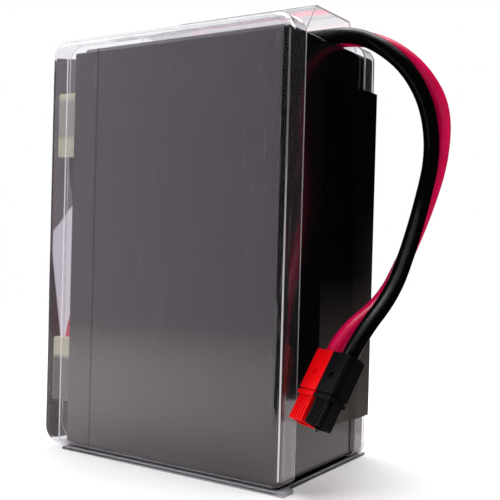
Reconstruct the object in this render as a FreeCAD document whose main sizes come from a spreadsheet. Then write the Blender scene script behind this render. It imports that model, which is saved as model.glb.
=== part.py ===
import FreeCAD, Part
import math
import os

import Sketcher
from FreeCAD import Placement, Rotation, Vector

# Cells of the battery block, stacked along Z as it stands on its end.
CELLS = 6

# Ribs on the nose of a connector.
RIBS = 4

# Share of a run that the arc at each of its ends may take.
ARC_SHARE = 0.45

# Every settable size, in millimetres or degrees.
SIZES = {
    # battery block: lid at the left, jar floor at the right
    "block_width": 94.0,
    "block_depth": 65.0,
    "block_height": 151.0,
    "corner_radius": 2.1,
    "end_step": 0.1,
    "lid_height": 12.5,
    "lid_top": 5.0,
    "lid_radius": 1.2,
    "shoulder_height": 5.8,
    "shoulder_depth": 1.4,
    "seam_width": 0.6,
    "seam_depth": 0.4,
    "case_wall": 2.2,
    "case_floor": 2.5,
    "cell_wall": 1.8,
    # plates, straps and links
    "pack_gap": 0.2,
    "plate_height": 70.0,
    "strap_width": 10.0,
    "strap_height": 4.0,
    "strap_inset": 4.0,
    "link_width": 6.0,
    "notch_gap": 0.3,
    # valves and their cover
    "vent_margin": 0.8,
    "vent_width": 21.0,
    "vent_depth": 4.0,
    "cover_height": 2.0,
    "cover_gap": 0.2,
    "cover_radius": 3.0,
    "outlet_width": 4.0,
    "valve_radius": 4.5,
    "valve_hole_radius": 2.0,
    # terminals, measured from the end cell's inner wall and from the front
    "terminal_inset": 3.13,
    "terminal_front": 7.75,
    "post_radius": 2.2,
    "post_gap": 0.3,
    "tab_height": 7.9,
    "tab_width": 6.35,
    "tab_gauge": 0.8,
    "tab_hole_radius": 0.9,
    # receptacles and boots
    "clip_width": 7.4,
    "clip_depth": 3.2,
    "clip_height": 7.6,
    "clip_lift": 1.0,
    "clip_gap": 0.1,
    "barrel_radius": 2.6,
    "barrel_bore": 1.8,
    "barrel_length": 7.4,
    "boot_start": 6.0,
    "boot_length": 24.5,
    "boot_width": 12.5,
    "boot_height": 10.2,
    "boot_radius": 2.0,
    "boot_gap": 0.3,
    # clear trays
    "tray_gauge": 0.6,
    "tray_depth": 10.5,
    "corner_blend": 0.2,
    "free_blend": 3.6,
    "terminal_room": 11.3,
    "side_gap": 0.7,
    "front_gap": 0.3,
    "top_gap": 3.7,
    # clear base sheet
    "base_gauge": 1.05,
    "base_inset": 0.4,
    "lip_reach": 1.3,
    "lip_inset": 12.2,
    "ear_reach": 2.7,
    "ear_depth": 6.1,
    "ear_taper": 3.1,
    # clear cable hood
    "hood_gauge": 0.6,
    "hood_foot_width": 40.0,
    "hood_top_width": 26.0,
    "hood_height": 10.2,
    "hood_tail_height": 6.8,
    "hood_length": 73.0,
    "hood_slope": 16.0,
    "hood_inset": 1.0,
    "hood_radius": 1.5,
    # side label
    "label_gauge": 0.25,
    "label_overhang": 0.2,
    "label_front": 26.5,
    "label_foot": 14.0,
    "label_height": 123.4,
    "label_ramp": 3.0,
    "label_gap": 0.3,
    # leads
    "lead_radius": 2.8,
    "lead_gap": 0.3,
    "lead_stand": 5.6,
    "lead_end": 2.0,
    "lead_run": 8.0,
    "black_lane": 36.5,
    "red_lane": 43.0,
    "lane_sway": 0.4,
    "edge_stand": 3.2,
    "edge_run": 26.0,
    "long_run": 40.0,
    "boot_run": 14.0,
    "black_drop": 33.0,
    # connectors
    "shell_side": 7.9,
    "shell_rear": 14.0,
    "shell_length": 24.6,
    "shell_radius": 0.4,
    "shell_gap": 0.1,
    "nose_step": 0.8,
    "collar_start": 14.7,
    "collar_length": 1.4,
    "collar_step": 0.15,
    "rail_width": 3.2,
    "rail_height": 0.9,
    "rail_gap": 0.2,
    "rib_width": 0.4,
    "rib_height": 0.3,
    "rib_pitch": 1.2,
    "dimple_radius": 1.1,
    "dimple_depth": 0.7,
    "dimple_place": 8.0,
    "slot_width": 5.0,
    "slot_depth": 4.0,
    "contact_radius": 2.2,
    "contact_bore": 1.6,
    "contact_length": 9.0,
    "contact_gap": 0.3,
    "tongue_width": 4.0,
    "tongue_gauge": 1.0,
    "tongue_length": 13.5,
    "tongue_rise": 0.3,
    "spring_width": 3.2,
    "spring_gauge": 0.35,
    "spring_start": 10.2,
    "spring_bend": 15.0,
    "spring_end": 21.0,
    "spring_gap": 0.1,
    "connector_yaw": -22.0,
    "connector_tilt": 31.0,
}

doc = FreeCAD.newDocument("BatteryPack")
sheet = doc.addObject("Spreadsheet::Sheet", "dims")
for row, (alias, number) in enumerate(SIZES.items(), start=1):
    sheet.set(f"A{row}", alias)
    sheet.set(f"B{row}", str(number))
    sheet.setAlias(f"B{row}", alias)
doc.recompute()

nodes = {}


class Size:
    """A length that knows its number and the sheet formula it comes from."""

    def __init__(self, text, value):
        self.text = text
        self.value = value

    def join(self, sign, other, value):
        return Size(f"({self.text} {sign} {other.text})", value)

    def __add__(self, other):
        other = as_size(other)
        return self.join("+", other, self.value + other.value)

    def __sub__(self, other):
        other = as_size(other)
        return self.join("-", other, self.value - other.value)

    def __mul__(self, other):
        other = as_size(other)
        return self.join("*", other, self.value * other.value)

    def __truediv__(self, other):
        other = as_size(other)
        return self.join("/", other, self.value / other.value)

    def __neg__(self):
        return Size(f"(0 - {self.text})", -self.value)


def as_size(item):
    """Takes a plain number as a size of its own."""
    if isinstance(item, Size):
        return item
    return Size(repr(float(item)), float(item))


def size(name):
    """A size straight from the sheet."""
    return Size(f"dims.{name}", float(getattr(sheet, name)))


ZERO = as_size(0)

# Faces of the block and the trays in the shared frame: the origin is at the
# middle of the whole pack's outline, on the surface it stands on.
RIGHT = (size("terminal_room") + size("block_width") - size("side_gap") - size("ear_reach")) / 2
LEFT = RIGHT - size("block_width")
FRONT = (size("lip_reach") - size("label_overhang") - size("block_depth")) / 2
BOTTOM = size("base_gauge") + size("tray_gauge")
TOP = BOTTOM + size("block_height")
TRAY_RIGHT = RIGHT + size("side_gap") + size("tray_gauge")
TRAY_LEFT = LEFT - size("terminal_room") - size("tray_gauge")
TRAY_FRONT = FRONT - size("front_gap") - size("tray_gauge")
TRAY_REAR = FRONT + size("block_depth") + size("front_gap") + size("tray_gauge")

# Inside the block: the jar's length, the cells and the tops of the straps.
JAR = size("block_width") - size("lid_height")
CELL = (size("block_height") - size("case_wall") * 2 - size("cell_wall") * (CELLS - 1)) / CELLS
CELL_DEPTH = size("block_depth") - size("case_wall") * 2
TERMINAL = size("case_wall") + CELL - size("terminal_inset")
STRAP_TOP = size("case_floor") + size("plate_height") + size("strap_height")
VALVE_SPAN = (CELL + size("cell_wall")) * (CELLS - 1)
VENT_LENGTH = VALVE_SPAN + (size("valve_radius") + size("vent_margin")) * 2

# Radii of the drawn trays follow the block inside them, but for the three corners clear of it.
TRAY_EDGE = size("corner_radius") + size("front_gap") + size("tray_gauge")
TRAY_CORNER = TRAY_EDGE + size("corner_blend")
TRAY_FREE_CORNER = TRAY_EDGE + size("free_blend")


def bind(thing, **formulas):
    """Ties properties of a document object to sheet formulas."""
    for name, formula in formulas.items():
        thing.setExpression(name, as_size(formula).text)


def place(thing, x, y, z, turn=None):
    """Ties the place of a document object to sheet formulas."""
    if turn is not None:
        thing.Placement = Placement(Vector(), turn)
    for axis, formula in zip("xyz", (x, y, z)):
        thing.setExpression(f"Placement.Base.{axis}", as_size(formula).text)


def node(thing, label):
    """Names a finished piece, which is written out under that name."""
    thing.Label = label
    nodes[label] = thing
    return thing


def box(name, x, y, z, length, width, height):
    made = doc.addObject("Part::Box", name)
    bind(made, Length=length, Width=width, Height=height)
    place(made, x, y, z)
    return made


def new_body(name):
    return doc.addObject("PartDesign::Body", name)


def sketch_in(body, role, name, lift=None):
    """A sketch on one of the body's own planes, lifted along its normal."""
    sketch = body.newObject("Sketcher::SketchObject", name)
    plane = next(item for item in body.Origin.OriginFeatures if item.Role == role)
    sketch.AttachmentSupport = [(plane, "")]
    sketch.MapMode = "FlatFace"
    if lift is not None:
        sketch.setExpression("AttachmentOffset.Base.z", as_size(lift).text)
    return sketch


def hold_point(sketch, line, end, x, y):
    """Holds one point of a sketch at a place given by two sizes."""
    for kind, length in (("DistanceX", x), ("DistanceY", y)):
        length = as_size(length)
        rule = Sketcher.Constraint(kind, -1, 1, line, end, length.value)
        number = sketch.addConstraint(rule)
        sketch.setExpression(f"Constraints[{number}]", length.text)


def polygon(sketch, points):
    """A closed outline of straight edges, each corner held by sizes."""
    points = [(as_size(x), as_size(y)) for x, y in points]
    corners = [Vector(x.value, y.value, 0) for x, y in points]
    first = sketch.GeometryCount
    for start, end in zip(corners, corners[1:] + corners[:1]):
        sketch.addGeometry(Part.LineSegment(start, end))
    for index, (x, y) in enumerate(points):
        following = first + (index + 1) % len(points)
        sketch.addConstraint(Sketcher.Constraint("Coincident", first + index, 2, following, 1))
        hold_point(sketch, first + index, 1, x, y)
    return sketch


def rectangle(sketch, left, low, right, high):
    return polygon(sketch, [(left, low), (right, low), (right, high), (left, high)])


def circle(sketch, x, y, radius):
    x, y, radius = as_size(x), as_size(y), as_size(radius)
    round_line = Part.Circle(Vector(x.value, y.value, 0), Vector(0, 0, 1), radius.value)
    index = sketch.addGeometry(round_line)
    hold_point(sketch, index, 3, x, y)
    number = sketch.addConstraint(Sketcher.Constraint("Radius", index, radius.value))
    sketch.setExpression(f"Constraints[{number}]", radius.text)
    return sketch


def pad(body, sketch, length, back=False, both=False):
    """Adds a sketch drawn out along its normal, or back against it."""
    made = body.newObject("PartDesign::Pad", sketch.Name + "_pad")
    made.Profile = sketch
    made.Reversed = back
    made.Midplane = both
    bind(made, Length=length)
    return made


def pocket(body, sketch, length, along=False, both=False):
    """Cuts a sketch against its normal, or along it."""
    made = body.newObject("PartDesign::Pocket", sketch.Name + "_cut")
    made.Profile = sketch
    made.Reversed = along
    made.Midplane = both
    bind(made, Length=length)
    return made


def lies_at(edge, axis, value):
    """True for an edge that stays at one coordinate."""
    limits = edge.BoundBox
    low, high = getattr(limits, axis + "Min"), getattr(limits, axis + "Max")
    return abs(low - value) < 1e-4 and abs(high - value) < 1e-4


def runs_along(edge, axis):
    """True for a straight edge parallel to one axis."""
    limits = edge.BoundBox
    spans = {"X": limits.XLength, "Y": limits.YLength, "Z": limits.ZLength}
    return spans.pop(axis) > 1e-4 and max(spans.values()) < 1e-4


def round_edges(body, base, name, radius, wanted):
    """Rounds the edges of a feature that a test picks."""
    doc.recompute()
    edges = enumerate(base.Shape.Edges, start=1)
    made = body.newObject("PartDesign::Fillet", name)
    made.Base = (base, [f"Edge{index}" for index, edge in edges if wanted(edge)])
    bind(made, Radius=radius)
    return made


def hollow(body, base, name, gauge, opened):
    """Leaves an inward shell of a feature, without the faces that a test picks."""
    doc.recompute()
    faces = enumerate(base.Shape.Faces, start=1)
    made = body.newObject("PartDesign::Thickness", name)
    made.Base = (base, [f"Face{index}" for index, face in faces if opened(face)])
    made.Reversed = True
    bind(made, Value=gauge)
    return made


def cell_start(index):
    """Height of a cell's lower wall above the block's bottom."""
    return size("case_wall") + (CELL + size("cell_wall")) * index


def link_middle(index):
    """Depth of the link after a cell: rear and front by turns."""
    front = size("case_wall") + size("pack_gap") + size("strap_inset") + size("strap_width") / 2
    if index % 2:
        return front
    return size("block_depth") - front


def battery_case():
    """Black jar: six cells open to the left, with notches for the links."""
    body = new_body("case_body")
    outline = rectangle(sketch_in(body, "YZ_Plane", "case_outline"),
                        ZERO, ZERO, size("block_depth"), size("block_height"))
    solid = pad(body, outline, JAR, back=True)
    solid = round_edges(body, solid, "case_corners", size("corner_radius"),
                        lambda edge: runs_along(edge, "X"))
    round_edges(body, solid, "case_end", size("corner_radius") - size("end_step"),
                lambda edge: lies_at(edge, "X", 0))
    cells = sketch_in(body, "YZ_Plane", "case_cells", -JAR)
    for index in range(CELLS):
        low = cell_start(index)
        rectangle(cells, size("case_wall"), low, size("case_wall") + CELL_DEPTH, low + CELL)
    pocket(body, cells, JAR - size("case_floor"), along=True)
    notches = sketch_in(body, "YZ_Plane", "case_notches", -JAR)
    half = size("link_width") / 2 + size("notch_gap")
    for index in range(CELLS - 1):
        low = cell_start(index) + CELL
        middle = link_middle(index)
        rectangle(notches, middle - half, low, middle + half, low + size("cell_wall"))
    depth = JAR - STRAP_TOP + size("strap_height") + size("notch_gap")
    pocket(body, notches, depth, along=True)
    place(body, RIGHT, FRONT, BOTTOM)
    return node(body, "battery_case")


def battery_lid():
    """Black lid on a set-back seam, with shouldered ends, a valve recess and two post holes."""
    body = new_body("lid_body")
    step, width = size("seam_depth"), size("seam_width")
    neck = rectangle(sketch_in(body, "YZ_Plane", "lid_neck", -JAR), step, step,
                     size("block_depth") - step, size("block_height") - step)
    pad(body, neck, size("lid_height"), back=True)
    outline = rectangle(sketch_in(body, "YZ_Plane", "lid_outline", -JAR - width),
                        ZERO, ZERO, size("block_depth"), size("block_height"))
    solid = pad(body, outline, size("lid_height") - width, back=True)
    solid = round_edges(body, solid, "lid_corners", size("corner_radius"),
                        lambda edge: runs_along(edge, "X"))
    face = -size("block_width").value
    round_edges(body, solid, "lid_edge", size("lid_radius"), lambda edge: lies_at(edge, "X", face))
    inside = rectangle(sketch_in(body, "YZ_Plane", "lid_inside", -JAR),
                       size("case_wall"), size("case_wall"),
                       size("block_depth") - size("case_wall"),
                       size("block_height") - size("case_wall"))
    pocket(body, inside, size("lid_height") - size("lid_top"))
    shoulders = sketch_in(body, "YZ_Plane", "lid_shoulders", -size("block_width"))
    for low in (ZERO, size("block_height") - size("shoulder_depth")):
        rectangle(shoulders, ZERO, low, size("block_depth"), low + size("shoulder_depth"))
    pocket(body, shoulders, size("shoulder_height"), along=True)
    recess = vent_outline(sketch_in(body, "YZ_Plane", "lid_recess", -size("block_width")), ZERO)
    pocket(body, recess, size("vent_depth"), along=True)
    holes = sketch_in(body, "YZ_Plane", "lid_holes", -size("block_width"))
    for index in range(CELLS):
        circle(holes, size("block_depth") / 2, cell_start(index) + CELL / 2,
               size("valve_hole_radius"))
    for height in (TERMINAL, size("block_height") - TERMINAL):
        circle(holes, size("terminal_front"), height, size("post_radius") + size("post_gap"))
    pocket(body, holes, size("lid_top"), along=True)
    place(body, RIGHT, FRONT, BOTTOM)
    return node(body, "battery_lid")


def vent_outline(sketch, gap):
    """Outline of the valve recess, or of what fits it with a gap all round."""
    middle, centre = size("block_depth") / 2, size("block_height") / 2
    across, along = size("vent_width") / 2 - gap, VENT_LENGTH / 2 - gap
    return rectangle(sketch, middle - across, centre - along, middle + across, centre + along)


def vent_cover():
    """Strip flush with the lid that holds the valve caps, with an outlet at each end."""
    body = new_body("cover_body")
    sketch = sketch_in(body, "YZ_Plane", "cover_outline", -size("block_width"))
    outline = vent_outline(sketch, size("cover_gap"))
    solid = pad(body, outline, size("cover_height"))
    round_edges(body, solid, "cover_corners", size("cover_radius"),
                lambda edge: runs_along(edge, "X"))
    outlets = sketch_in(body, "YZ_Plane", "cover_outlets", -size("block_width"))
    middle, half = size("block_depth") / 2, size("outlet_width") / 2
    reach = VENT_LENGTH / 2 - size("cover_gap")
    for end in (size("block_height") / 2 - reach, size("block_height") / 2 + reach):
        rectangle(outlets, middle - half, end - half, middle + half, end + half)
    pocket(body, outlets, size("cover_height"), along=True)
    place(body, RIGHT, FRONT, BOTTOM)
    return node(body, "vent_cover")


def valve_caps():
    """Six rubber caps between the recess floor and the cover."""
    caps = []
    for index in range(CELLS):
        cap = doc.addObject("Part::Cylinder", f"cap_{index + 1}")
        bind(cap, Radius=size("valve_radius"), Height=size("vent_depth") - size("cover_height"))
        place(cap, LEFT + size("cover_height"), FRONT + size("block_depth") / 2,
              BOTTOM + cell_start(index) + CELL / 2, Rotation(Vector(0, 1, 0), 90))
        caps.append(cap)
    group = doc.addObject("Part::Compound", "caps")
    group.Links = caps
    return node(group, "valve_caps")


def plate_pack(index):
    """Plates of one cell with the straps that join them, front and rear."""
    gap = size("pack_gap")
    low = BOTTOM + cell_start(index) + gap
    width = CELL - gap * 2
    front = FRONT + size("case_wall") + gap
    depth = CELL_DEPTH - gap * 2
    floor = RIGHT - size("case_floor")
    plates = box(f"plates_{index + 1}", floor - size("plate_height"), front, low,
                 size("plate_height"), depth, width)
    straps = []
    starts = (front + size("strap_inset"),
              front + depth - size("strap_inset") - size("strap_width"))
    for side, start in zip(("front", "rear"), starts):
        straps.append(box(f"strap_{index + 1}_{side}", RIGHT - STRAP_TOP, start, low,
                          size("strap_height"), size("strap_width"), width))
    pack = doc.addObject("Part::MultiFuse", f"pack_{index + 1}")
    pack.Shapes = [plates] + straps
    return node(pack, f"plate_pack_{index + 1}")


def cell_links():
    """Five lead bars that join the straps of neighbouring cells."""
    links = []
    for index in range(CELLS - 1):
        low = cell_start(index) + CELL - size("pack_gap")
        links.append(box(f"link_{index + 1}", RIGHT - STRAP_TOP,
                         FRONT + link_middle(index) - size("link_width") / 2, BOTTOM + low,
                         size("strap_height"), size("link_width"),
                         size("cell_wall") + size("pack_gap") * 2))
    group = doc.addObject("Part::Compound", "links")
    group.Links = links
    return node(group, "cell_links")


def at_terminal(body, upper):
    """Places a terminal piece: upright at the foot, turned over at the top."""
    turn = Rotation(Vector(1, 0, 0), 180 if upper else 0)
    place(body, LEFT, FRONT + size("terminal_front"), TOP if upper else BOTTOM, turn)
    return body


def terminal(label, upper):
    """Lead post through the lid with a flat tab outside."""
    body = new_body(label + "_body")
    inset = TERMINAL
    post = circle(sketch_in(body, "YZ_Plane", label + "_post"), ZERO, inset, size("post_radius"))
    pad(body, post, size("block_width") - STRAP_TOP)
    half, wide = size("tab_gauge") / 2, size("tab_width") / 2
    tab = rectangle(sketch_in(body, "YZ_Plane", label + "_tab"),
                    -half, inset - wide, half, inset + wide)
    pad(body, tab, size("tab_height"), back=True)
    hole = circle(sketch_in(body, "XZ_Plane", label + "_hole"),
                  -size("tab_height") / 2, inset, size("tab_hole_radius"))
    pocket(body, hole, size("tab_gauge") * 2, both=True)
    return node(at_terminal(body, upper), label)


def receptacle(label, upper):
    """Push-on clip round the tab, with a barrel that points along the lid."""
    body = new_body(label + "_body")
    inset = TERMINAL
    half, wide = size("clip_depth") / 2, size("clip_width") / 2
    clip = rectangle(sketch_in(body, "YZ_Plane", label + "_clip", -size("clip_lift")),
                     -half, inset - wide, half, inset + wide)
    pad(body, clip, size("clip_height"), back=True)
    thin = size("tab_gauge") / 2 + size("clip_gap")
    long = size("tab_width") / 2 + size("clip_gap")
    slot = rectangle(sketch_in(body, "YZ_Plane", label + "_slot", -size("clip_lift")),
                     -thin, inset - long, thin, inset + long)
    pocket(body, slot, size("clip_height"))
    barrel = circle(sketch_in(body, "XY_Plane", label + "_barrel", inset + wide),
                    -size("lead_stand"), ZERO, size("barrel_radius"))
    pad(body, barrel, size("barrel_length"))
    bore = circle(sketch_in(body, "XY_Plane", label + "_bore", inset + wide + size("barrel_length")),
                  -size("lead_stand"), ZERO, size("barrel_bore"))
    pocket(body, bore, size("barrel_length"))
    return node(at_terminal(body, upper), label)


def boot(label, upper):
    """Nylon sleeve over the receptacle, open to the lid and round the lead."""
    body = new_body(label + "_body")
    half, start = size("boot_width") / 2, TERMINAL - size("boot_start")
    outline = rectangle(sketch_in(body, "XY_Plane", label + "_outline", start),
                        -size("boot_height"), -half, ZERO, half)
    solid = pad(body, outline, size("boot_length"))
    face = -size("boot_height").value
    round_edges(body, solid, label + "_rounding", size("boot_radius"),
                lambda edge: lies_at(edge, "X", face))
    gap, inset = size("boot_gap"), TERMINAL
    thin, long = size("clip_depth") / 2 + gap, size("clip_width") / 2 + gap
    seat = rectangle(sketch_in(body, "YZ_Plane", label + "_seat"),
                     -thin, inset - long, thin, inset + long)
    pocket(body, seat, size("clip_lift") + size("clip_height") + gap)
    throat = inset + size("clip_width") / 2
    bore = circle(sketch_in(body, "XY_Plane", label + "_throat", throat),
                  -size("lead_stand"), ZERO, size("lead_radius") + gap)
    pocket(body, bore, start + size("boot_length") - throat, along=True)
    return node(at_terminal(body, upper), label)


def tray(label, rear):
    """Clear drawn tray: a flat panel with rounded edges and a short wall all round."""
    body = new_body(label + "_body")
    width = TRAY_RIGHT - TRAY_LEFT
    height = size("tray_gauge") * 2 + size("block_height") + size("top_gap")
    outline = rectangle(sketch_in(body, "XZ_Plane", label + "_outline"), ZERO, ZERO, width, height)
    solid = pad(body, outline, size("tray_depth"), back=not rear)
    solid = round_edges(body, solid, label + "_foot", TRAY_CORNER,
                        lambda edge: runs_along(edge, "Y") and lies_at(edge, "Z", 0)
                        and lies_at(edge, "X", width.value))
    solid = round_edges(body, solid, label + "_corners", TRAY_FREE_CORNER,
                        lambda edge: runs_along(edge, "Y") and (lies_at(edge, "Z", height.value)
                                                                or lies_at(edge, "X", 0)))
    solid = round_edges(body, solid, label + "_edge", TRAY_EDGE,
                        lambda edge: lies_at(edge, "Y", 0))
    open_side = size("tray_depth").value * (-1 if rear else 1)
    hollow(body, solid, label + "_shell", size("tray_gauge"),
           lambda face: abs(face.BoundBox.YMin - open_side) < 1e-4
           and abs(face.BoundBox.YMax - open_side) < 1e-4)
    place(body, TRAY_LEFT, TRAY_REAR if rear else TRAY_FRONT, size("base_gauge"))
    return node(body, label)


def cable_hood():
    """Clear folded hood over the leads: slanted sides, open ends and a sloping tail."""
    body = new_body("hood_body")
    foot, crown = size("hood_foot_width") / 2, size("hood_top_width") / 2
    high, long = size("hood_height"), size("hood_length")
    section = polygon(sketch_in(body, "YZ_Plane", "hood_section"),
                      [(-foot, ZERO), (foot, ZERO), (crown, high), (-crown, high)])
    pad(body, section, long, back=True)
    break_line, tail = -(long - size("hood_slope")), size("hood_tail_height")
    slope = polygon(sketch_in(body, "XZ_Plane", "hood_slope_line"),
                    [(break_line, high), (-long, tail), (-long, high + tail),
                     (break_line, high + tail)])
    solid = pocket(body, slope, size("hood_foot_width"), both=True)
    solid = round_edges(body, solid, "hood_bends", size("hood_radius"),
                        lambda edge: edge.BoundBox.ZMin > tail.value - 1e-4
                        and edge.BoundBox.YLength < foot.value)

    def is_open(face):
        limits = face.BoundBox
        return limits.ZMax < 1e-4 or limits.XMin > -1e-4 or limits.XMax < -long.value + 1e-4

    hollow(body, solid, "hood_shell", size("hood_gauge"), is_open)
    place(body, RIGHT - size("hood_inset"), FRONT + size("block_depth") / 2, TOP)
    return node(body, "cable_hood")


def base_sheet():
    """Clear sheet under the trays, with a lip along the front and a small ear."""
    body = new_body("base_body")
    lip = TRAY_FRONT - size("lip_reach")
    rear = TRAY_REAR - size("base_inset")
    left, right = TRAY_LEFT + size("lip_inset"), TRAY_RIGHT - size("base_inset")
    ear = TRAY_RIGHT + size("ear_reach")
    ear_rear = lip + size("ear_depth")
    outline = polygon(sketch_in(body, "XY_Plane", "base_outline"),
                      [(left, lip), (ear, lip), (ear, ear_rear),
                       (right, ear_rear + size("ear_taper")), (right, rear), (left, rear)])
    pad(body, outline, size("base_gauge"))
    return node(body, "base_sheet")


def side_label():
    """Matte label on the block's side that steps up onto the rear tray."""
    body = new_body("label_body")
    gauge = size("label_gauge")
    step_top = TRAY_REAR - size("tray_depth") - size("label_gap")
    step_foot = step_top - size("label_ramp")
    front, rear = FRONT + size("label_front"), TRAY_REAR + size("label_overhang")
    outline = polygon(sketch_in(body, "XY_Plane", "label_outline"),
                      [(RIGHT, front), (RIGHT + gauge, front), (RIGHT + gauge, step_foot),
                       (TRAY_RIGHT + gauge, step_top), (TRAY_RIGHT + gauge, rear),
                       (TRAY_RIGHT, rear), (TRAY_RIGHT, step_top), (RIGHT, step_foot)])
    pad(body, outline, size("label_height"))
    place(body, ZERO, ZERO, BOTTOM + size("label_foot"))
    return node(body, "side_label")


def lead_path(points):
    """Straight runs joined by tangent arcs, each as large as its runs allow."""
    edges = []
    radii = []
    start = points[0]
    for before, corner, after in zip(points, points[1:], points[2:]):
        into, onto = corner - before, after - corner
        trim = ARC_SHARE * min(into.Length, onto.Length)
        turn = into.getAngle(onto)
        into.normalize()
        onto.normalize()
        radius = trim / math.tan(turn / 2)
        inward = onto - into
        inward.normalize()
        middle = corner + inward * (radius / math.cos(turn / 2) - radius)
        entry, leaving = corner - into * trim, corner + onto * trim
        edges.append(Part.LineSegment(start, entry).toShape())
        edges.append(Part.Arc(entry, middle, leaving).toShape())
        radii.append(radius)
        start = leaving
    edges.append(Part.LineSegment(start, points[-1]).toShape())
    return Part.Wire(edges), radii


def lead(label, points):
    """Round lead swept along its route."""
    path, radii = lead_path(points)
    radius = size("lead_radius").value
    ring = Part.Circle(points[0], points[1] - points[0], radius).toShape()
    made = doc.addObject("Part::Feature", label + "_tube")
    made.Shape = path.makePipeShell([Part.Wire([ring])], True, True)
    share = made.Shape.Volume / (math.pi * radius ** 2 * path.Length)
    turns = " ".join(f"{radius:.1f}" for radius in radii)
    print(f"{label}: length {path.Length:.1f}, radii {turns}, volume share {share:.4f}")
    return node(made, label)


# Where the red inner lead crosses the lid: X away from the lid, Y from its own
# lane and Z from the level where the black one turns back up.
RED_CROSSING = [(0, -20, -20.8), (0.8, -0.5, -0.8)]


def inner_route(climb, lane):
    """Route up the lid side, leaning out over the block's edge, and along under the hood."""
    lid_side = LEFT.value - size("lead_stand").value
    edge_side = lid_side - size("edge_stand").value
    depth, sway = FRONT.value + lane, size("lane_sway").value
    run = TOP.value + size("lead_gap").value + size("lead_radius").value
    edge, long = size("edge_run").value, size("long_run").value
    last = RIGHT.value - size("lead_end").value
    points = [Vector(lid_side - x, FRONT.value + y, BOTTOM.value + z) for x, y, z in climb]
    points += [Vector((lid_side + edge_side) / 2, depth + sway, run - long),
               Vector(edge_side, depth, run - edge), Vector(edge_side, depth, run),
               Vector(edge_side + edge, depth + sway, run), Vector(last - long, depth, run)]
    return points + [Vector(last, depth, run)]


def inner_leads():
    """The two leads from the terminals to where they leave the hood."""
    start = (TERMINAL + size("clip_width") / 2 + size("barrel_length")).value
    front, height = size("terminal_front").value, size("block_height").value
    red, black = size("red_lane").value, size("black_lane").value
    turn = height - start - size("black_drop").value
    red_climb = [(0, front, start), (0, front, start + size("boot_run").value)]
    red_climb += [(x, red + y, turn + z) for x, y, z in RED_CROSSING]
    black_climb = [(0, front, height - start), (0, front, turn), (size("lane_sway").value, black, turn)]
    lead("red_inner_lead", inner_route(red_climb, red))
    lead("black_inner_lead", inner_route(black_climb, black))


# Routes of the free leads, from where they leave the hood to the straight run
# into the connector: along X from the block's right face, along Y from its
# front and along Z from its top.
BLACK_ROUTE = [(-2, 36.5, 3.1), (5, 36.5, 3.1), (15.2, 38, -1.6), (23.8, 43.1, -9.9),
               (28.6, 49.6, -22.5), (29.2, 53.6, -39), (26.7, 51.1, -55.5), (25.9, 41.9, -72),
               (24.9, 30.7, -87.5)]
RED_ROUTE = [(-2, 43, 3.1), (6, 43, 3.1), (16.9, 45.7, -1.3), (25.6, 51.7, -9.4),
             (30.5, 59.8, -21.5), (29.6, 61.2, -40), (25.8, 57.1, -58), (22.6, 47.9, -74.7),
             (20.4, 34.3, -90.5)]
BLACK_TIP = (18.7, 12.1, -107.8)


def connector_turn():
    """Turn of the connectors: Z towards the mating end, X from red to black."""
    yaw = Rotation(Vector(0, 0, 1), size("connector_yaw").value)
    return yaw * Rotation(Vector(1, 0, 0), 180 - size("connector_tilt").value)


def free_lead(label, route, tip):
    """Lead along its route, then straight into the back of its connector."""
    corner = Vector(RIGHT.value, FRONT.value, TOP.value)
    points = [corner + Vector(*point) for point in route]
    along = connector_turn().multVec(Vector(0, 0, 1))
    lead(label, points + [tip - along * size("lead_run").value, tip])


def connector_tips():
    """Backs of the two connectors, which stand side by side."""
    black = Vector(RIGHT.value, FRONT.value, TOP.value) + Vector(*BLACK_TIP)
    pitch = size("shell_side").value + size("shell_gap").value
    across = connector_turn().multVec(Vector(1, 0, 0))
    return black, black - across * pitch


def at_connector(body, tip):
    """Places a connector piece at the end of its lead, along the lead."""
    body.Placement = Placement(tip, connector_turn())
    return body


def square(sketch, half):
    return rectangle(sketch, -half, -half, half, half)


def housing(label, tip):
    """Square connector shell: stepped nose with ribs, collar, side rail and groove."""
    body = new_body(label + "_body")
    half = size("shell_side") / 2
    core = half - size("nose_step")
    length, rear = size("shell_length"), size("shell_rear")
    shell = square(sketch_in(body, "XY_Plane", label + "_rear"), half)
    solid = pad(body, shell, rear)
    round_edges(body, solid, label + "_edges", size("shell_radius"),
                lambda edge: runs_along(edge, "Z"))
    pad(body, square(sketch_in(body, "XY_Plane", label + "_core"), core), length)
    collar = sketch_in(body, "XY_Plane", label + "_collar", size("collar_start"))
    pad(body, square(collar, half - size("collar_step")), size("collar_length"))
    ridges(body, label, half, core)
    groove = sketch_in(body, "XY_Plane", label + "_groove")
    wide = size("rail_width") / 2 + size("rail_gap")
    rectangle(groove, -half, -wide, -half + size("rail_height") + size("rail_gap"), wide)
    pocket(body, groove, length, along=True)
    dimple = circle(sketch_in(body, "XZ_Plane", label + "_dimple", -half),
                    ZERO, size("dimple_place"), size("dimple_radius"))
    pocket(body, dimple, size("dimple_depth"), along=True)
    bore = circle(sketch_in(body, "XY_Plane", label + "_bore"), ZERO, ZERO,
                  size("contact_radius") + size("contact_gap"))
    depth = size("contact_length") + size("contact_gap")
    pocket(body, bore, depth, along=True)
    wide, deep = size("slot_width") / 2, size("slot_depth") / 2
    slot = rectangle(sketch_in(body, "XY_Plane", label + "_slot", depth), -wide, -deep, wide, deep)
    pocket(body, slot, length - depth, along=True)
    return node(at_connector(body, tip), label)


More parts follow.
